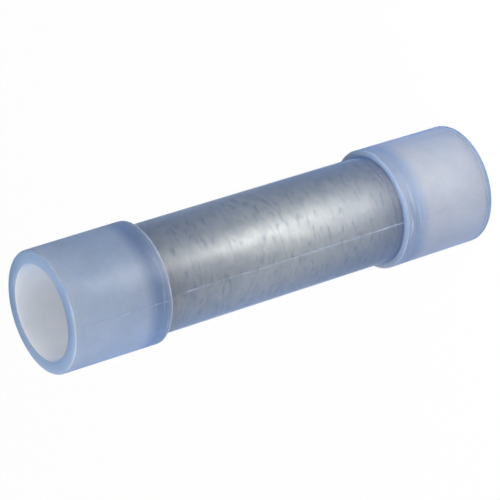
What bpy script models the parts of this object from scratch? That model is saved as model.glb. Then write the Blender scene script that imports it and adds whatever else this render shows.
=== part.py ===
"""Insulated butt splice connector for 1.5 to 2.5 mm2 wire.

A tin-plated copper barrel sits in a translucent nylon sleeve. The sleeve is one
moulding: a straight waist round the barrel, and at each end a wider bell that
takes the wire's insulation. A web between bell and barrel keeps the barrel in
and guides the bare strands to its bore.

The connector stands on the flat end of one bell. The axis is +Z and the origin
is the centre of that end. Units are metres.
"""

import bpy
import math
from mathutils import Vector

MM = 0.001

# Sleeve, outside
WAIST_DIAMETER = 5.87 * MM
WAIST_LENGTH = 15.05 * MM
BELL_DIAMETER = 6.60 * MM
BELL_LENGTH = 5.78 * MM
BELL_TAPER = math.radians(0.25)
MOUTH_OUTER_RADIUS = 0.15 * MM
SHOULDER_EDGE_RADIUS = 0.05 * MM
SHOULDER_ROOT_RADIUS = 0.06 * MM

# Sleeve, inside
BELL_BORE = 5.05 * MM
BORE_DRAFT = math.radians(0.25)
MOUTH_INNER_RADIUS = 0.07 * MM
WEB_THICKNESS = 0.98 * MM
WEB_BORE = 2.90 * MM
WEB_LEAD_IN = 0.22 * MM
WEB_CORNER_RADIUS = 0.12 * MM

# Conductor barrel
BARREL_DIAMETER = 4.20 * MM
BARREL_BORE = 2.30 * MM
BARREL_LENGTH = 15.00 * MM
BARREL_EDGE_RADIUS = 0.12 * MM
BARREL_COUNTERSINK = 0.20 * MM
GROOVE_COUNT = 3
GROOVE_PITCH = 0.90 * MM
GROOVE_WIDTH = 0.28 * MM
GROOVE_DEPTH = 0.10 * MM
GROOVE_SETBACK = 2.20 * MM

# Wire stop, pressed into the middle of the barrel from the side
STOP_PUNCH_RADIUS = 1.00 * MM
STOP_DEPTH = 0.80 * MM

# Fits between barrel and sleeve
RADIAL_CLEARANCE = 0.03 * MM
END_CLEARANCE = 0.04 * MM

SLEEVE_STEPS = 80
BARREL_STEPS = 64
MERGE_DISTANCE = 0.002 * MM
SMOOTH_ANGLE = math.radians(30)

TOTAL_LENGTH = WAIST_LENGTH + 2 * BELL_LENGTH
MIDDLE = Vector((0, 0, TOTAL_LENGTH / 2))


def clear_scene():
    """Remove whatever the file was opened with."""
    for item in list(bpy.data.objects):
        bpy.data.objects.remove(item, do_unlink=True)


def new_collection(name):
    """Make a collection under the scene's own."""
    collection = bpy.data.collections.new(name)
    bpy.context.scene.collection.children.link(collection)
    return collection


def material(name, colour, roughness, metallic, transmission, ior):
    """Make a Principled material from a linear colour and its finish."""
    result = bpy.data.materials.new(name)
    result.use_nodes = True
    shader = result.node_tree.nodes["Principled BSDF"]
    shader.inputs["Base Color"].default_value = (*colour, 1)
    shader.inputs["Roughness"].default_value = roughness
    shader.inputs["Metallic"].default_value = metallic
    shader.inputs["Transmission Weight"].default_value = transmission
    shader.inputs["IOR"].default_value = ior
    return result


def fillet(corner, before, after, radius, segments):
    """Points of the arc that rounds a corner of an outline, in the corner's place."""
    corner = Vector(corner)
    back = (Vector(before) - corner).normalized()
    ahead = (Vector(after) - corner).normalized()
    half = back.angle(ahead) / 2
    centre = corner + (back + ahead).normalized() * radius / math.sin(half)
    reach = radius / math.tan(half)
    first = corner + back * reach - centre
    last = corner + ahead * reach - centre
    sweep = first.angle_signed(last)
    points = []
    for step in range(segments + 1):
        turn = -sweep * step / segments
        arm = Vector((
            first.x * math.cos(turn) - first.y * math.sin(turn),
            first.x * math.sin(turn) + first.y * math.cos(turn),
        ))
        points.append(tuple(centre + arm))
    return points


def outline(corners):
    """Open (radius, height) outline; a corner's third and fourth values round it."""
    points = []
    for index, corner in enumerate(corners):
        place = corner[:2]
        if len(corner) == 4:
            before = corners[index - 1][:2]
            after = corners[index + 1][:2]
            points.extend(fillet(place, before, after, corner[2], corner[3]))
        else:
            points.append(place)
    return points


def turned_half(name, collection, points, steps):
    """Turn the upper half of a symmetric piece and mirror it at its middle."""
    mesh = bpy.data.meshes.new(name)
    edges = [(index, index + 1) for index in range(len(points) - 1)]
    mesh.from_pydata([(radius, 0, height) for radius, height in points], edges, [])
    piece = bpy.data.objects.new(name, mesh)
    collection.objects.link(piece)

    screw = piece.modifiers.new("turn", "SCREW")
    screw.axis = "Z"
    screw.angle = math.tau
    screw.steps = steps
    screw.render_steps = steps
    screw.use_merge_vertices = True
    screw.merge_threshold = MERGE_DISTANCE
    screw.use_smooth_shade = True

    mirror = piece.modifiers.new("other half", "MIRROR")
    mirror.use_axis = (False, False, True)
    mirror.use_mirror_merge = True
    mirror.merge_threshold = MERGE_DISTANCE
    return piece


def apply_modifiers(piece):
    """Replace a piece's mesh by what its modifiers make of it."""
    graph = bpy.context.evaluated_depsgraph_get()
    mesh = bpy.data.meshes.new_from_object(piece.evaluated_get(graph), depsgraph=graph)
    piece.modifiers.clear()
    piece.data = mesh
    mesh.shade_smooth()
    mesh.set_sharp_from_angle(angle=SMOOTH_ANGLE)


def insulating_sleeve(collection):
    """The nylon moulding, with its pocket for the barrel."""
    waist_radius = WAIST_DIAMETER / 2
    shoulder_height = WAIST_LENGTH / 2
    shoulder_radius = BELL_DIAMETER / 2
    mouth_height = TOTAL_LENGTH / 2
    mouth_radius = shoulder_radius - BELL_LENGTH * math.tan(BELL_TAPER)

    pocket_radius = BARREL_DIAMETER / 2 + RADIAL_CLEARANCE
    pocket_height = BARREL_LENGTH / 2 + END_CLEARANCE
    web_top = pocket_height + WEB_THICKNESS
    web_radius = WEB_BORE / 2
    mouth_bore_radius = BELL_BORE / 2
    bell_depth = mouth_height - web_top
    deep_bore_radius = mouth_bore_radius - bell_depth * math.tan(BORE_DRAFT)

    corners = [
        (pocket_radius, 0),
        (pocket_radius, pocket_height),
        (web_radius, pocket_height),
        (web_radius, web_top - WEB_LEAD_IN),
        (web_radius + WEB_LEAD_IN, web_top),
        (deep_bore_radius, web_top, WEB_CORNER_RADIUS, 3),
        (mouth_bore_radius, mouth_height, MOUTH_INNER_RADIUS, 3),
        (mouth_radius, mouth_height, MOUTH_OUTER_RADIUS, 4),
        (shoulder_radius, shoulder_height, SHOULDER_EDGE_RADIUS, 2),
        (waist_radius, shoulder_height, SHOULDER_ROOT_RADIUS, 2),
        (waist_radius, 0),
    ]
    return turned_half("insulating_sleeve", collection, outline(corners), SLEEVE_STEPS)


def grooves(bore_radius):
    """Corners of the grip grooves in half of the barrel's bore, from the middle out."""
    corners = []
    for index in reversed(range(GROOVE_COUNT)):
        middle = BARREL_LENGTH / 2 - GROOVE_SETBACK - index * GROOVE_PITCH
        corners.append((bore_radius, middle - GROOVE_WIDTH / 2))
        corners.append((bore_radius + GROOVE_DEPTH, middle))
        corners.append((bore_radius, middle + GROOVE_WIDTH / 2))
    return corners


def punch(name, height, cutters):
    """A ball at the given height off the axis, as a tool for the wire stop."""
    bpy.ops.mesh.primitive_uv_sphere_add(
        segments=32,
        ring_count=16,
        radius=STOP_PUNCH_RADIUS,
        location=(0, height, MIDDLE.z),
    )
    ball = bpy.context.active_object
    ball.name = name
    for owner in list(ball.users_collection):
        owner.objects.unlink(ball)
    cutters.objects.link(ball)
    ball.hide_render = True
    ball.display_type = "WIRE"
    return ball


def conductor_barrel(collection, cutters):
    """The plated barrel, with grip grooves and the pressed wire stop."""
    radius = BARREL_DIAMETER / 2
    bore_radius = BARREL_BORE / 2
    end = BARREL_LENGTH / 2
    corners = [(bore_radius, 0)]
    corners.extend(grooves(bore_radius))
    corners.extend([
        (bore_radius, end - BARREL_COUNTERSINK),
        (bore_radius + BARREL_COUNTERSINK, end),
        (radius, end, BARREL_EDGE_RADIUS, 3),
        (radius, 0),
    ])
    barrel = turned_half("conductor_barrel", collection, outline(corners), BARREL_STEPS)

    wall = radius - bore_radius
    dimple_centre = radius - STOP_DEPTH + STOP_PUNCH_RADIUS
    bump = barrel.modifiers.new("bump in the bore", "BOOLEAN")
    bump.operation = "UNION"
    bump.solver = "EXACT"
    bump.object = punch("stop_bump", dimple_centre - wall, cutters)
    dimple = barrel.modifiers.new("dimple outside", "BOOLEAN")
    dimple.operation = "DIFFERENCE"
    dimple.solver = "EXACT"
    dimple.object = punch("stop_dimple", dimple_centre, cutters)
    return barrel


def build():
    """Model the connector and give its pieces their materials."""
    clear_scene()
    parts = new_collection("butt_splice_connector")
    cutters = new_collection("cutters")

    sleeve = insulating_sleeve(parts)
    barrel = conductor_barrel(parts, cutters)
    for piece in (sleeve, barrel):
        piece.location = MIDDLE
    bpy.context.view_layer.update()
    for piece in (sleeve, barrel):
        apply_modifiers(piece)

    nylon = material("blue_nylon", (0.36, 0.50, 0.72), 0.35, 0, 0.6, 1.53)
    tin = material("tin_plate", (0.62, 0.63, 0.64), 0.32, 1, 0, 1.5)
    sleeve.data.materials.append(nylon)
    barrel.data.materials.append(tin)


build()
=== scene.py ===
import math

import bpy
from mathutils import Matrix, Vector


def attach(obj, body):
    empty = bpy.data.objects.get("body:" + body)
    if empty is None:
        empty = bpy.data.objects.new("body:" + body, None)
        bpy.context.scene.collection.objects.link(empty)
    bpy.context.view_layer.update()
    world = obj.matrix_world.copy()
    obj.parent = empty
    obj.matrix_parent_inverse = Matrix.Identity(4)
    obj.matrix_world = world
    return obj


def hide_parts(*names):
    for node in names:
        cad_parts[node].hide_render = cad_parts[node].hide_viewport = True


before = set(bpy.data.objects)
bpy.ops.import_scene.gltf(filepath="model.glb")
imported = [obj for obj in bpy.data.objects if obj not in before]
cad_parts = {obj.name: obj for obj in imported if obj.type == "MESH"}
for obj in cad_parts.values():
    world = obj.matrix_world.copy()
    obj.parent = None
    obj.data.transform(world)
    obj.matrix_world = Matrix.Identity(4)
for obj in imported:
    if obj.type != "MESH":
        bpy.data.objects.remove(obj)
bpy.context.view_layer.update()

MM = 0.001


# The camera looks down on the standing connector from 16 cm away and is rolled well
# past a right angle, so the axis lies aslant across the picture with the upper mouth
# at the left, as in the photograph. It is a long lens, free of distortion.
CAMERA_PLACE = Vector((-0.129, -131.651, 92.968)) * MM
CAMERA_ELEVATION = math.radians(31.02)
CAMERA_ROLL = math.radians(-107.42)
FOCAL_LENGTH = 210.5
SENSOR_WIDTH = 36
NEAREST_SEEN = 10 * MM
FURTHEST_SEEN = 10

lens = bpy.data.cameras.new("camera")
lens.lens = FOCAL_LENGTH
lens.sensor_width = SENSOR_WIDTH
lens.clip_start = NEAREST_SEEN
lens.clip_end = FURTHEST_SEEN
camera = bpy.data.objects.new("camera", lens)
bpy.context.collection.objects.link(camera)
tilt = Matrix.Rotation(math.pi / 2 - CAMERA_ELEVATION, 4, "X")
roll = Matrix.Rotation(CAMERA_ROLL, 4, "Z")
camera.matrix_world = Matrix.Translation(CAMERA_PLACE) @ tilt @ roll
bpy.context.scene.camera = camera


# The conductor barrel is a length of seamless copper tube, chamfered in its mouths,
# grooved inside for grip and dimpled at its middle as a stop for the two wires. It is
# plated with tin in a tumbling barrel, which leaves it satin and faintly blotched.
BARREL_DIAMETER = 4.20 * MM
BARREL_BORE = 2.30 * MM
BARREL_LENGTH = 15.00 * MM
BARREL_EDGE = 0.12 * MM
BARREL_EDGE_STEPS = 4
COUNTERSINK = 0.20 * MM
GROOVE_COUNT = 3
GROOVE_PITCH = 0.90 * MM
GROOVE_WIDTH = 0.28 * MM
GROOVE_DEPTH = 0.10 * MM
GROOVE_SETBACK = 2.20 * MM
STOP_PUNCH_RADIUS = 1.00 * MM
STOP_PUNCH_SIDES = 64
STOP_DEPTH = 0.80 * MM
TOTAL_LENGTH = 26.61 * MM
BARREL_SIDES = 192
MERGE_DISTANCE = 0.001 * MM
RING_TOLERANCE = 0.004 * MM
SMOOTH_ANGLE = math.radians(30)

middle = TOTAL_LENGTH / 2


def turned(name, rings, sides, start=0):
    """Pull a circle from ring to ring, each a radius and a height, and close the wall."""
    bpy.ops.object.select_all(action="DESELECT")
    radius, height = rings[0]
    bpy.ops.mesh.primitive_circle_add(
        vertices=sides, radius=radius, location=(0, 0, height), rotation=(0, 0, start))
    piece = bpy.context.active_object
    piece.name = name
    piece.data.name = name
    bpy.ops.object.mode_set(mode="EDIT")
    bpy.ops.mesh.select_all(action="SELECT")
    for next_radius, next_height in rings[1:] + rings[:1]:
        rise = (0, 0, next_height - height)
        scale = next_radius / radius
        bpy.ops.mesh.extrude_region_move(TRANSFORM_OT_translate={"value": rise})
        bpy.ops.transform.resize(value=(scale, scale, 1), center_override=(0, 0, next_height))
        radius, height = next_radius, next_height
    bpy.ops.mesh.select_all(action="SELECT")
    bpy.ops.mesh.remove_doubles(threshold=MERGE_DISTANCE)
    bpy.ops.mesh.normals_make_consistent(inside=False)
    bpy.ops.object.mode_set(mode="OBJECT")
    bpy.ops.object.transform_apply(location=True, rotation=True, scale=True)
    return piece


def select_nothing(mesh):
    """Clear the selection of a mesh."""
    for parts in (mesh.vertices, mesh.edges, mesh.polygons):
        for part in parts:
            part.select = False


def round_ring(piece, radius, height, width, steps):
    """Bevel the ring of edges at a radius and a height."""
    mesh = piece.data
    select_nothing(mesh)
    on_ring = []
    for vertex in mesh.vertices:
        off_radius = abs(vertex.co.xy.length - radius)
        off_height = abs(vertex.co.z - height)
        on_ring.append(max(off_radius, off_height) < RING_TOLERANCE)
    for edge in mesh.edges:
        edge.select = on_ring[edge.vertices[0]] and on_ring[edge.vertices[1]]
    bpy.ops.object.mode_set(mode="EDIT")
    bpy.context.tool_settings.mesh_select_mode = (False, True, False)
    bpy.ops.mesh.bevel(offset=width, segments=steps, profile=0.5, affect="EDGES")
    bpy.ops.object.mode_set(mode="OBJECT")


barrel_radius = BARREL_DIAMETER / 2
barrel_bore = BARREL_BORE / 2
barrel_ends = (middle - BARREL_LENGTH / 2, middle + BARREL_LENGTH / 2)
groove_middles = []
for step in range(GROOVE_COUNT):
    setback = GROOVE_SETBACK + step * GROOVE_PITCH
    groove_middles += [barrel_ends[0] + setback, barrel_ends[1] - setback]
bore_rings = []
for height in sorted(groove_middles, reverse=True):
    bore_rings += [
        (barrel_bore, height + GROOVE_WIDTH / 2),
        (barrel_bore + GROOVE_DEPTH, height),
        (barrel_bore, height - GROOVE_WIDTH / 2),
    ]
barrel = turned("plated_barrel", [
    (barrel_radius, barrel_ends[0]),
    (barrel_radius, barrel_ends[1]),
    (barrel_bore + COUNTERSINK, barrel_ends[1]),
    (barrel_bore, barrel_ends[1] - COUNTERSINK),
    *bore_rings,
    (barrel_bore, barrel_ends[0] + COUNTERSINK),
    (barrel_bore + COUNTERSINK, barrel_ends[0]),
], BARREL_SIDES)
for end in barrel_ends:
    round_ring(barrel, barrel_radius, end, BARREL_EDGE, BARREL_EDGE_STEPS)


def punch(piece, operation, depth):
    """Add a ball's shape to a piece, or take it away, at mid-height on the hidden side."""
    bpy.ops.object.select_all(action="DESELECT")
    bpy.ops.mesh.primitive_uv_sphere_add(
        segments=STOP_PUNCH_SIDES,
        ring_count=STOP_PUNCH_SIDES // 2,
        radius=STOP_PUNCH_RADIUS,
        location=(0, depth, middle),
    )
    ball = bpy.context.active_object
    cut = piece.modifiers.new("wire stop", "BOOLEAN")
    cut.operation = operation
    cut.solver = "EXACT"
    cut.object = ball
    bpy.context.view_layer.objects.active = piece
    bpy.ops.object.modifier_apply(modifier=cut.name)
    bpy.data.objects.remove(ball, do_unlink=True)


dimple_depth = barrel_radius - STOP_DEPTH + STOP_PUNCH_RADIUS
punch(barrel, "UNION", dimple_depth - (barrel_radius - barrel_bore))
punch(barrel, "DIFFERENCE", dimple_depth)
bpy.ops.object.select_all(action="DESELECT")
barrel.select_set(True)
bpy.ops.object.shade_smooth_by_angle(angle=SMOOTH_ANGLE)


def linear(code):
    """Linear colour from an sRGB hex code."""
    values = [int(code[place:place + 2], 16) / 255 for place in (1, 3, 5)]
    return tuple(v / 12.92 if v <= 0.04045 else ((v + 0.055) / 1.055) ** 2.4 for v in values) + (1,)


def add(tree, kind, sockets=(), **settings):
    """Add a shader node; sockets maps an input to a value or to another node's output."""
    node = tree.nodes.new("ShaderNode" + kind)
    for name, value in settings.items():
        setattr(node, name, value)
    for socket, value in dict(sockets).items():
        if isinstance(value, bpy.types.NodeSocket):
            tree.links.new(value, node.inputs[socket])
        else:
            node.inputs[socket].default_value = value
    return node


def new_material(name):
    """Start a material with nothing but its output."""
    material = bpy.data.materials.new(name)
    material.use_nodes = True
    tree = material.node_tree
    tree.nodes.clear()
    return material, tree, add(tree, "OutputMaterial")


# Sockets whose names Blender repeats: a Mix node's share of its second number or colour,
# its numbers, its colours and the colour that comes out, and a Map Range node's value and
# ranges. Nearly all of a noise lies in the noise spread.
SHARE = 0
NUMBER_A = 2
NUMBER_B = 3
COLOUR_A = 6
COLOUR_B = 7
MIXED_COLOUR = 2
VALUE = 0
FROM_MIN = 1
FROM_MAX = 2
TO_MIN = 3
TO_MAX = 4
NOISE_SPREAD = (0.3, 0.7)

# Tin, plated in a tumbling barrel: a satin, slightly warm grey metal. Rubbing in the
# tumbler leaves faint cloudy blotches and short dark scuffs that lean a little round
# the tube. It doesn't rub the bore and the ends, so they keep a cleaner, neutral grey.
BLOTCH_SIZE = 0.55 * MM
BLOTCH_DEPTH = 0.02 * MM
BLOTCH_STRENGTH = 0.08
SCUFF_LENGTH = 0.60 * MM
SCUFF_WIDTH = 0.22 * MM
SCUFF_LEAN = (math.radians(24), 0, math.radians(-30))
SCUFF_RANGE = (0.54, 0.76)
SCUFF_COLOUR = "#a9a294"
BLOTCH_STOPS = ((0.32, "#d4c6ae"), (0.68, "#efdfc4"))
UNRUBBED_RADIUS = 1.90 * MM
UNRUBBED_COLOUR = "#dcdbd8"
DARK_BLOTCH_ROUGHNESS = 0.35
PALE_BLOTCH_ROUGHNESS = 0.30
TIN_EDGE_TINT = (0.1, 0.3, 0.7, 1)

tin, tree, output = new_material("tin_plate_barrel_finish")
place = add(tree, "TexCoord").outputs["Object"]
spot = add(tree, "SeparateXYZ", {0: place})
spot = add(tree, "CombineXYZ", {0: spot.outputs[0], 1: spot.outputs[1], 2: 0})
spot = add(tree, "VectorMath", {0: spot.outputs[0]}, operation="LENGTH")
unrubbed = add(tree, "Math", {0: spot.outputs["Value"], 1: UNRUBBED_RADIUS}, operation="LESS_THAN")
blotch = add(tree, "TexNoise", {
    "Vector": place,
    "Scale": 1 / BLOTCH_SIZE,
    "Detail": 3,
    "Roughness": 0.6,
})
cloud = add(tree, "ValToRGB", {"Fac": blotch.outputs["Fac"]})
for stop, (position, code) in zip(cloud.color_ramp.elements, BLOTCH_STOPS):
    stop.position = position
    stop.color = linear(code)
lean = add(tree, "Mapping", {
    "Vector": place,
    "Rotation": SCUFF_LEAN,
    "Scale": (1 / SCUFF_LENGTH, 1 / SCUFF_LENGTH, 1 / SCUFF_WIDTH),
})
scuff = add(tree, "TexNoise", {"Vector": lean.outputs[0], "Scale": 1, "Detail": 2, "Roughness": 0.5})
scuffed = add(tree, "MapRange", {
    VALUE: scuff.outputs["Fac"],
    FROM_MIN: SCUFF_RANGE[0],
    FROM_MAX: SCUFF_RANGE[1],
})
tone = add(tree, "Mix", {
    SHARE: scuffed.outputs[0],
    COLOUR_A: cloud.outputs[0],
    COLOUR_B: linear(SCUFF_COLOUR),
}, data_type="RGBA")
tone = add(tree, "Mix", {
    SHARE: unrubbed.outputs[0],
    COLOUR_A: tone.outputs[MIXED_COLOUR],
    COLOUR_B: linear(UNRUBBED_COLOUR),
}, data_type="RGBA")
satin = add(tree, "MapRange", {
    VALUE: blotch.outputs["Fac"],
    FROM_MIN: NOISE_SPREAD[0],
    FROM_MAX: NOISE_SPREAD[1],
    TO_MIN: DARK_BLOTCH_ROUGHNESS,
    TO_MAX: PALE_BLOTCH_ROUGHNESS,
})
uneven = add(tree, "Bump", {
    "Height": blotch.outputs["Fac"],
    "Strength": BLOTCH_STRENGTH,
    "Distance": BLOTCH_DEPTH,
})
metal = add(tree, "BsdfPrincipled", {
    "Base Color": tone.outputs[MIXED_COLOUR],
    "Metallic": 1,
    "Roughness": satin.outputs[0],
    "Specular Tint": TIN_EDGE_TINT,
    "Normal": uneven.outputs[0],
})
tree.links.new(metal.outputs["BSDF"], output.inputs["Surface"])
barrel.data.materials.append(tin)

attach(barrel, "root")
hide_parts("conductor_barrel")


# The insulating sleeve is one injection moulding in translucent blue nylon: a waist
# round the barrel, a bell at each end for the wires' insulation, and a web inside each
# shoulder. The mould parts along the sleeve and leaves a fine raised line on two sides.
WAIST_DIAMETER = 5.87 * MM
WAIST_LENGTH = 15.05 * MM
BELL_DIAMETER = 6.60 * MM
BELL_TAPER = math.radians(0.25)
MOUTH_OUTER_EDGE = 0.15 * MM
MOUTH_INNER_EDGE = 0.07 * MM
SHOULDER_EDGE = 0.05 * MM
SHOULDER_ROOT = 0.06 * MM
BELL_BORE = 5.05 * MM
BORE_DRAFT = math.radians(0.25)
POCKET_DIAMETER = 4.26 * MM
POCKET_LENGTH = 15.08 * MM
WEB_THICKNESS = 0.98 * MM
WEB_BORE = 2.90 * MM
WEB_LEAD_IN = 0.22 * MM
WEB_CORNER = 0.12 * MM
PARTING_ANGLE = math.radians(-113.8)
PARTING_HEIGHT = 0.025 * MM
PARTING_WIDTH = 0.03 * MM    # to each side
FACE_TOLERANCE = 0.01 * MM
SLEEVE_SIDES = 256

bell_length = (TOTAL_LENGTH - WAIST_LENGTH) / 2
bell_depth = (TOTAL_LENGTH - POCKET_LENGTH) / 2 - WEB_THICKNESS
waist_radius = WAIST_DIAMETER / 2
shoulder_radius = BELL_DIAMETER / 2
mouth_radius = shoulder_radius - bell_length * math.tan(BELL_TAPER)
mouth_bore = BELL_BORE / 2
deep_bore = mouth_bore - bell_depth * math.tan(BORE_DRAFT)
web_bore = WEB_BORE / 2
pocket_radius = POCKET_DIAMETER / 2
half_length = TOTAL_LENGTH / 2
half_waist = WAIST_LENGTH / 2
half_pocket = POCKET_LENGTH / 2
web_top = half_pocket + WEB_THICKNESS

upper_half = [
    (waist_radius, half_waist),
    (shoulder_radius, half_waist),
    (mouth_radius, half_length),
    (mouth_bore, half_length),
    (deep_bore, web_top),
    (web_bore + WEB_LEAD_IN, web_top),
    (web_bore, web_top - WEB_LEAD_IN),
    (web_bore, half_pocket),
    (pocket_radius, half_pocket),
]
rings = [(radius, middle + rise) for radius, rise in upper_half]
rings += [(radius, middle - rise) for radius, rise in reversed(upper_half)]
half_side = math.pi / SLEEVE_SIDES
sleeve = turned("moulded_sleeve", rings, SLEEVE_SIDES, PARTING_ANGLE + half_side)
for side in (-1, 1):
    for radius, rise, width, steps in (
        (mouth_radius, half_length, MOUTH_OUTER_EDGE, 5),
        (mouth_bore, half_length, MOUTH_INNER_EDGE, 4),
        (shoulder_radius, half_waist, SHOULDER_EDGE, 3),
        (waist_radius, half_waist, SHOULDER_ROOT, 3),
        (deep_bore, web_top, WEB_CORNER, 4),
    ):
        round_ring(sleeve, radius, middle + side * rise, width, steps)

mesh = sleeve.data
select_nothing(mesh)
parting = Vector((math.cos(PARTING_ANGLE), math.sin(PARTING_ANGLE), 0))
ridge_reach = half_length - MOUTH_OUTER_EDGE
for polygon in mesh.polygons:
    centre = polygon.center
    on_skin = centre.xy.length > waist_radius - FACE_TOLERANCE
    on_parting = abs(centre.cross(parting).z) < FACE_TOLERANCE
    polygon.select = on_skin and on_parting and abs(centre.z - middle) < ridge_reach
bpy.ops.object.mode_set(mode="EDIT")
bpy.context.tool_settings.mesh_select_mode = (False, False, True)
bpy.ops.mesh.extrude_region_shrink_fatten(TRANSFORM_OT_shrink_fatten={"value": PARTING_HEIGHT})
bpy.ops.object.mode_set(mode="OBJECT")
bpy.ops.object.shade_smooth_by_angle(angle=SMOOTH_ANGLE)

# Injection-moulded nylon, tinted light blue. The waist is clear enough to show the tin
# and the bells are milky. Rims and shoulders, with more nylon in the line of sight, are a
# deeper blue. Over each web the bell is a deeper blue for the thick nylon, darkened more
# with painted shade, and next to each shoulder, over the tin's end, it is painted darker
# still: painted shade. Each tone has a lower and an upper copy, set apart to offset how
# differently the two ends are lit, the lower one beside the bright paper and under the
# strip: painted light and shade. The mould's fine grain gives a soft bloom instead of a
# gloss.
WAIST_SKIN = "#e0e8fb"
LOWER_BELL_SKIN = "#bebdc1"
UPPER_BELL_SKIN = "#c2cfe3"
LOWER_WEB_SKIN = "#98a5bb"
UPPER_WEB_SKIN = "#8ba0c4"
# The root tones are painted shade: the dark band next to each shoulder, over the tin's end.
LOWER_ROOT_SHADE = "#80889a"
UPPER_ROOT_SHADE = "#6e7d98"
LOWER_EDGE_SKIN = "#92a1b8"
UPPER_EDGE_SKIN = "#99aecb"
FLOW_STREAK = "#b4c4dd"
POCKET_WALL = "#fff6e4"
BELL_BORE_WALL = "#f6f1ed"
# The inner flats, the web's faces among them, and the web's bore are painted dark: painted shade, so
# that the webs read as dark bands through the bells.
INNER_FLAT_SHADE = "#5c6a86"
WEB_BORE_SHADE = "#4d5c78"
# The parting line's colour: the flash's whitish look with a painted highlight.
PARTING_FLASH_AND_HIGHLIGHT = "#d3dff3"

# Where on the sleeve a tone starts: a distance from the axis, or a height, or a height
# above and below the middle. A pair runs from where the tone starts to where it is full.
INNER_REACH = 2.56 * MM
WEB_BORE_REACH = 1.75 * MM
BELL_START = 7.5 * MM
FLAT_FACING = (0.5, 0.9)
# Over this height the lower copies of the tones, set to offset the light at the lower end, give way
# to the upper ones: painted light and shade.
LOWER_TO_UPPER_SHADE = (3 * MM, 23 * MM)
LOWER_RIM = (0.36 * MM, 0.26 * MM)
WEB_FADE = (web_top + 0.55 * MM, web_top - 0.15 * MM)
ROOT_FADE = (half_pocket + 0.50 * MM, half_pocket + 0.42 * MM)

# Streaks that the nylon leaves where it flows round the web, clouds, grain and frost.
FLOW_LENGTH = 2.5 * MM
FLOW_WIDTH = 0.14 * MM
FLOW_RANGE = (0.60, 0.76)
CLOUD_SIZE = 1.6 * MM
CLOUD_SHARE = 0.02
GRAIN_SIZE = 0.22 * MM
GRAIN_SHARE = 0.04
FROST_SIZE = 0.16 * MM
FROST_DEPTH = 0.02 * MM
FROST_STRENGTH = 0.25

nylon, tree, output = new_material("translucent_blue_nylon")
where = add(tree, "TexCoord")
place = where.outputs["Object"]
split = add(tree, "SeparateXYZ", {0: place})
level = split.outputs[2]
across = add(tree, "CombineXYZ", {0: split.outputs[0], 1: split.outputs[1], 2: 0})
reach = add(tree, "VectorMath", {0: across.outputs[0]}, operation="LENGTH")
rise = add(tree, "Math", {0: level, 1: middle}, operation="SUBTRACT")
rise = add(tree, "Math", {0: rise.outputs[0]}, operation="ABSOLUTE")
facing = add(tree, "SeparateXYZ", {0: where.outputs["Normal"]})
facing = add(tree, "Math", {0: facing.outputs[2]}, operation="ABSOLUTE")
inside = add(tree, "Math", {0: reach.outputs["Value"], 1: INNER_REACH}, operation="LESS_THAN")
outside = add(tree, "Math", {0: 1, 1: inside.outputs[0]}, operation="SUBTRACT")
neck = add(tree, "Math", {0: reach.outputs["Value"], 1: WEB_BORE_REACH}, operation="LESS_THAN")
bell = add(tree, "Math", {0: rise.outputs[0], 1: BELL_START}, operation="GREATER_THAN")
fades = []
for measure, (start, full) in (
    (facing.outputs[0], FLAT_FACING),
    (level, LOWER_TO_UPPER_SHADE),
    (level, LOWER_RIM),
    (rise.outputs[0], WEB_FADE),
    (rise.outputs[0], ROOT_FADE),
):
    fades.append(add(tree, "MapRange", {VALUE: measure, FROM_MIN: start, FROM_MAX: full}))
flat, height, brim, web, root = fades
edge = add(tree, "Math", {0: flat.outputs[0], 1: brim.outputs[0]}, operation="MAXIMUM")

# Mix each tone from its lower and upper copy by height. The copies differ to offset how differently
# the two ends are lit: painted light and shade.
tones = []
for lower, upper in (
    (LOWER_BELL_SKIN, UPPER_BELL_SKIN),
    (LOWER_WEB_SKIN, UPPER_WEB_SKIN),
    (LOWER_ROOT_SHADE, UPPER_ROOT_SHADE),
    (LOWER_EDGE_SKIN, UPPER_EDGE_SKIN),
):
    tones.append(add(tree, "Mix", {
        SHARE: height.outputs[0],
        COLOUR_A: linear(lower),
        COLOUR_B: linear(upper),
    }, data_type="RGBA").outputs[MIXED_COLOUR])
bell_tone, web_depth_and_shade, root_shade, edge_tone = tones
flow = add(tree, "Mapping", {
    "Vector": place,
    "Scale": (1 / FLOW_LENGTH, 1 / FLOW_LENGTH, 1 / FLOW_WIDTH),
})
flow = add(tree, "TexNoise", {"Vector": flow.outputs[0], "Scale": 1, "Detail": 2})
flow = add(tree, "MapRange", {
    VALUE: flow.outputs["Fac"],
    FROM_MIN: FLOW_RANGE[0],
    FROM_MAX: FLOW_RANGE[1],
})

# Next to the shoulder, over the tin's end, the skin takes the dark root tone: painted shade.
skin = add(tree, "Mix", {
    SHARE: root.outputs[0],
    COLOUR_A: web_depth_and_shade,
    COLOUR_B: root_shade,
}, data_type="RGBA")
skin = add(tree, "Mix", {
    SHARE: flow.outputs[0],
    COLOUR_A: skin.outputs[MIXED_COLOUR],
    COLOUR_B: linear(FLOW_STREAK),
}, data_type="RGBA")
# Over the web the skin takes the web tone: a deeper blue for the thick nylon, darkened more with
# painted shade.
skin = add(tree, "Mix", {
    SHARE: web.outputs[0],
    COLOUR_A: bell_tone,
    COLOUR_B: skin.outputs[MIXED_COLOUR],
}, data_type="RGBA")
skin = add(tree, "Mix", {
    SHARE: bell.outputs[0],
    COLOUR_A: linear(WAIST_SKIN),
    COLOUR_B: skin.outputs[MIXED_COLOUR],
}, data_type="RGBA")
skin = add(tree, "Mix", {
    SHARE: edge.outputs[0],
    COLOUR_A: skin.outputs[MIXED_COLOUR],
    COLOUR_B: edge_tone,
}, data_type="RGBA")

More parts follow.
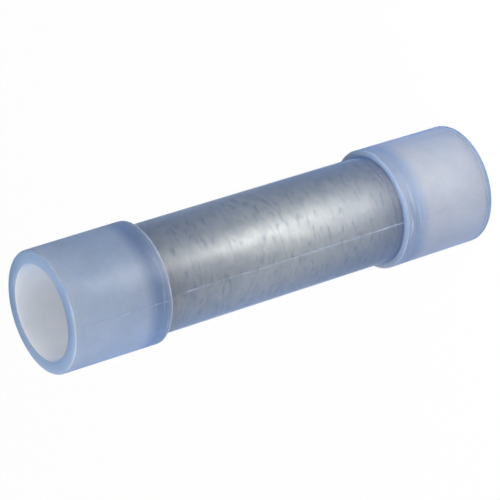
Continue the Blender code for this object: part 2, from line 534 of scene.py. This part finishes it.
bore = add(tree, "Mix", {
    SHARE: bell.outputs[0],
    COLOUR_A: linear(POCKET_WALL),
    COLOUR_B: linear(BELL_BORE_WALL),
}, data_type="RGBA")
# Painted shade: the inner flats and the web's bore take their dark tones.
for mask, code in ((flat, INNER_FLAT_SHADE), (neck, WEB_BORE_SHADE)):
    bore = add(tree, "Mix", {
        SHARE: mask.outputs[0],
        COLOUR_A: bore.outputs[MIXED_COLOUR],
        COLOUR_B: linear(code),
    }, data_type="RGBA")
colour = add(tree, "Mix", {
    SHARE: inside.outputs[0],
    COLOUR_A: skin.outputs[MIXED_COLOUR],
    COLOUR_B: bore.outputs[MIXED_COLOUR],
}, data_type="RGBA")

# The nylon is a little uneven: wide clouds and a fine grain make its outside lighter
# and darker, and the clouds make the bells more and less milky.
cloudy = add(tree, "TexNoise", {
    "Vector": place,
    "Scale": 1 / CLOUD_SIZE,
    "Detail": 4,
    "Roughness": 0.65,
})
grain = add(tree, "TexNoise", {"Vector": place, "Scale": 1 / GRAIN_SIZE, "Detail": 2})
shade = add(tree, "Math", {0: grain.outputs["Fac"], 1: cloudy.outputs["Fac"]}, operation="ADD")
shade = add(tree, "MapRange", {
    VALUE: shade.outputs[0],
    FROM_MIN: 2 * NOISE_SPREAD[0],
    FROM_MAX: 2 * NOISE_SPREAD[1],
    TO_MIN: 1 - GRAIN_SHARE,
    TO_MAX: 1 + GRAIN_SHARE,
})
shade = add(tree, "Mix", {SHARE: outside.outputs[0], NUMBER_A: 1, NUMBER_B: shade.outputs[0]})
colour = add(tree, "HueSaturation", {
    "Value": shade.outputs[0],
    "Color": colour.outputs[MIXED_COLOUR],
})
milk = add(tree, "MapRange", {
    VALUE: cloudy.outputs["Fac"],
    FROM_MIN: NOISE_SPREAD[0],
    FROM_MAX: NOISE_SPREAD[1],
    TO_MIN: -CLOUD_SHARE,
    TO_MAX: CLOUD_SHARE,
})
milk = add(tree, "Math", {0: milk.outputs[0], 1: bell.outputs[0]}, operation="MULTIPLY")

# How much of the light goes through, rather than coming back milky.
WAIST_CLEAR = 0.90
BELL_CLEAR = 0.55
ROOT_CLEAR = 0.25
EDGE_CLEAR = 0.30
POCKET_CLEAR = 1.0
BELL_BORE_CLEAR = 0.25
PARTING_CLEAR = 0.5

skin_clear = add(tree, "Mix", {SHARE: bell.outputs[0], NUMBER_A: WAIST_CLEAR, NUMBER_B: BELL_CLEAR})
bell_root = add(tree, "Math", {0: root.outputs[0], 1: bell.outputs[0]}, operation="MULTIPLY")
for mask, share in ((bell_root, ROOT_CLEAR), (edge, EDGE_CLEAR)):
    skin_clear = add(tree, "Mix", {
        SHARE: mask.outputs[0],
        NUMBER_A: skin_clear.outputs[0],
        NUMBER_B: share,
    })
bore_clear = add(tree, "Mix", {
    SHARE: bell.outputs[0],
    NUMBER_A: POCKET_CLEAR,
    NUMBER_B: BELL_BORE_CLEAR,
})
clear = add(tree, "Mix", {
    SHARE: inside.outputs[0],
    NUMBER_A: skin_clear.outputs[0],
    NUMBER_B: bore_clear.outputs[0],
})
clear = add(tree, "Math", {0: clear.outputs[0], 1: milk.outputs[0]}, operation="SUBTRACT")

# Where the two mould halves met, the ridge is painted lighter and milkier: partly the
# flash's own whitish look, partly a painted highlight where it catches the light. It shows
# in broken runs, is faint on the lower bell and fades out towards the upper mouth.
BREAK_SIZE = 0.7 * MM
BREAK_RANGE = (0.42, 0.62)
BREAK_SHARES = (0.1, 0.9)
FAINT_BELOW = (5.6 * MM, 5.8 * MM)
FAINT_SHARE = 0.15
FADING_ABOVE = (23.5 * MM, 25 * MM)
FADING_SHARE = 0.1

aside = add(tree, "VectorMath", {
    0: place,
    1: (-math.sin(PARTING_ANGLE), math.cos(PARTING_ANGLE), 0),
}, operation="DOT_PRODUCT")
aside = add(tree, "Math", {0: aside.outputs["Value"]}, operation="ABSOLUTE")
broken = add(tree, "TexNoise", {"Vector": place, "Scale": 1 / BREAK_SIZE, "Detail": 3})
broken = add(tree, "MapRange", {
    VALUE: broken.outputs["Fac"],
    FROM_MIN: BREAK_RANGE[0],
    FROM_MAX: BREAK_RANGE[1],
    TO_MIN: BREAK_SHARES[0],
    TO_MAX: BREAK_SHARES[1],
})
faint = add(tree, "MapRange", {
    VALUE: level,
    FROM_MIN: FAINT_BELOW[0],
    FROM_MAX: FAINT_BELOW[1],
    TO_MIN: FAINT_SHARE,
    TO_MAX: 1,
})
fading = add(tree, "MapRange", {
    VALUE: level,
    FROM_MIN: FADING_ABOVE[0],
    FROM_MAX: FADING_ABOVE[1],
    TO_MIN: 1,
    TO_MAX: FADING_SHARE,
})
seam_and_highlight = add(tree, "Math", {0: aside.outputs[0], 1: PARTING_WIDTH}, operation="LESS_THAN")
for mask in (outside, broken, faint, fading):
    seam_and_highlight = add(tree, "Math", {0: seam_and_highlight.outputs[0], 1: mask.outputs[0]}, operation="MULTIPLY")
# Painted highlight and whitish flash along the parting line.
colour = add(tree, "Mix", {
    SHARE: seam_and_highlight.outputs[0],
    COLOUR_A: colour.outputs[0],
    COLOUR_B: linear(PARTING_FLASH_AND_HIGHLIGHT),
}, data_type="RGBA")
clear = add(tree, "Mix", {
    SHARE: seam_and_highlight.outputs[0],
    NUMBER_A: clear.outputs[0],
    NUMBER_B: PARTING_CLEAR,
})

# The rims and shoulders are the roughest, as the mould leaves them, and a frost too fine
# to see bends the light all over. The deeper the light goes, the bluer it comes out.
WAIST_ROUGHNESS = 0.20
BELL_ROUGHNESS = 0.26
EDGE_ROUGHNESS = 0.60
NYLON_IOR = 1.53
BLOOM = 0.38
BLOOM_ROUGHNESS = 0.6
BLOOM_TINT = (0.03, 0.32, 1.0, 1)
SCATTER_REACH = 3.0 * MM
SCATTER_COLOURS = (1.2, 1.0, 0.8)
DEPTH_COLOUR = (0.1, 0.45, 0.85, 1)
DEPTH_DENSITY = 280

rough = add(tree, "Mix", {
    SHARE: bell.outputs[0],
    NUMBER_A: WAIST_ROUGHNESS,
    NUMBER_B: BELL_ROUGHNESS,
})
rough = add(tree, "Mix", {
    SHARE: edge.outputs[0],
    NUMBER_A: rough.outputs[0],
    NUMBER_B: EDGE_ROUGHNESS,
})
frost = add(tree, "TexNoise", {"Vector": place, "Scale": 1 / FROST_SIZE, "Detail": 2})
frosted = add(tree, "Bump", {
    "Height": frost.outputs["Fac"],
    "Strength": FROST_STRENGTH,
    "Distance": FROST_DEPTH,
})
shader = add(tree, "BsdfPrincipled", {
    "Base Color": colour.outputs[MIXED_COLOUR],
    "Roughness": rough.outputs[0],
    "IOR": NYLON_IOR,
    "Transmission Weight": clear.outputs[0],
    "Subsurface Weight": bell.outputs[0],
    "Sheen Weight": BLOOM,
    "Sheen Roughness": BLOOM_ROUGHNESS,
    "Sheen Tint": BLOOM_TINT,
    "Subsurface Radius": SCATTER_COLOURS,
    "Subsurface Scale": SCATTER_REACH,
    "Normal": frosted.outputs[0],
})
tree.links.new(shader.outputs["BSDF"], output.inputs["Surface"])
depth = add(tree, "VolumeAbsorption", {"Color": DEPTH_COLOUR, "Density": DEPTH_DENSITY})
tree.links.new(depth.outputs["Volume"], output.inputs["Volume"])
sleeve.data.materials.append(nylon)

# The same nylon where the pocket's smooth wall clings to the tin. Light passes on to the
# metal there almost unbent, so the tin fills the waist instead of floating in it.
GRIP_ROUGHNESS = 0.05
GRIP_IOR = 1.01

grip, tree, output = new_material("nylon_gripping_the_tin")
shader = add(tree, "BsdfPrincipled", {
    "Base Color": linear(POCKET_WALL),
    "Roughness": GRIP_ROUGHNESS,
    "IOR": GRIP_IOR,
    "Transmission Weight": 1,
})
tree.links.new(shader.outputs["BSDF"], output.inputs["Surface"])
sleeve.data.materials.append(grip)
for polygon in mesh.polygons:
    centre = polygon.center
    if centre.xy.length < pocket_radius and abs(centre.z - middle) < half_pocket / 2:
        polygon.material_index = 1

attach(sleeve, "root")
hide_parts("insulating_sleeve")


# The floor is a wide sheet of matt white paper. It holds a soft shadow, and the camera
# sees it as white. What shows through the nylon is a little less white, and what the
# tin mirrors is much less, so that the metal keeps its grey.
SHEET_SIZE = 4
SHEET_COLOUR = "#e4e4e4"
SEEN_WHITE = 0.98
THROUGH_WHITE = 0.8
MIRRORED_WHITE = 0.10

bpy.ops.object.select_all(action="DESELECT")
bpy.ops.mesh.primitive_plane_add(size=SHEET_SIZE, location=(0, 0, 0))
floor = bpy.context.active_object
floor.name = "floor"
sheet, tree, output = new_material("white_paper_sheet")
plain = add(tree, "BsdfDiffuse", {"Color": linear(SHEET_COLOUR)})
white = add(tree, "Emission", {"Color": (1, 1, 1, 1), "Strength": 1})
ray = add(tree, "LightPath")
seen = add(tree, "Math", {0: ray.outputs["Is Camera Ray"], 1: SEEN_WHITE}, operation="MULTIPLY")
bent = add(tree, "Math", {
    0: ray.outputs["Is Transmission Ray"],
    1: ray.outputs["Is Glossy Ray"],
}, operation="MAXIMUM")
unmirrored = add(tree, "Math", {0: ray.outputs["Glossy Depth"], 1: 0.5}, operation="LESS_THAN")
bent_white = add(tree, "MapRange", {
    VALUE: unmirrored.outputs[0],
    TO_MIN: MIRRORED_WHITE,
    TO_MAX: THROUGH_WHITE,
})
bent = add(tree, "Math", {0: bent.outputs[0], 1: bent_white.outputs[0]}, operation="MULTIPLY")
share = add(tree, "Math", {0: seen.outputs[0], 1: bent.outputs[0]}, operation="MAXIMUM")
mixed = add(tree, "MixShader", {"Fac": share.outputs[0], 1: plain.outputs[0], 2: white.outputs[0]})
tree.links.new(mixed.outputs[0], output.inputs["Surface"])
floor.data.materials.append(sheet)


# Four square softboxes stand round the connector, and a long strip hangs flat over the
# sheet in front of it. The tin mirrors the paper that the strip lights, and so gets the
# long highlight along the waist.
WHITE_LIGHT = (1, 1, 1)
COOL_LIGHT = (0.65, 0.84, 1)
STRIP_TURN = math.radians(17)
STRIP_DISTANCE = 43 * MM
STRIP_HEIGHT = 12 * MM
STRIP_LENGTH = 60 * MM
STRIP_WIDTH = 12 * MM
STRIP_POWER = 0.0245
ROOM_LIGHT = 0.08


def lamp(name, place, size, power):
    """A soft lamp that the camera doesn't see, with its size in metres and power in watts."""
    data = bpy.data.lights.new(name, "AREA")
    data.size = size
    data.energy = power
    holder = bpy.data.objects.new(name, data)
    bpy.context.collection.objects.link(holder)
    holder.location = place
    holder.visible_camera = False
    return holder


for name, place, aim_height, size, power, light in (
    ("high_softbox", (-0.014, -0.038, 0.090), 0.015, 0.040, 0.0395, WHITE_LIGHT),
    ("left_softbox", (-0.038, -0.014, 0.090), 0.015, 0.040, 0.0137, WHITE_LIGHT),
    ("side_softbox", (-0.050, 0, 0.045), 0.010, 0.040, 0.0161, WHITE_LIGHT),
    ("over_softbox", (0.039, -0.0225, 0.045), 0.015, 0.050, 0.0080, COOL_LIGHT),
):
    softbox = lamp(name, place, size, power)
    sight = Vector((0, 0, aim_height)) - Vector(place)
    softbox.rotation_euler = sight.to_track_quat("-Z", "Y").to_euler()
    softbox.data.color = light

strip = lamp("strip_softbox", (
    STRIP_DISTANCE * math.sin(STRIP_TURN),
    -STRIP_DISTANCE * math.cos(STRIP_TURN),
    STRIP_HEIGHT,
), STRIP_LENGTH, STRIP_POWER)
strip.data.shape = "RECTANGLE"
strip.data.size_y = STRIP_WIDTH
strip.rotation_euler = (0, 0, STRIP_TURN - math.pi / 2)

world = bpy.data.worlds.new("world")
bpy.context.scene.world = world
world.use_nodes = True
background = world.node_tree.nodes["Background"]
background.inputs["Color"].default_value = (*WHITE_LIGHT, 1)
background.inputs["Strength"].default_value = ROOM_LIGHT

bpy.context.scene.view_settings.view_transform = "Standard"
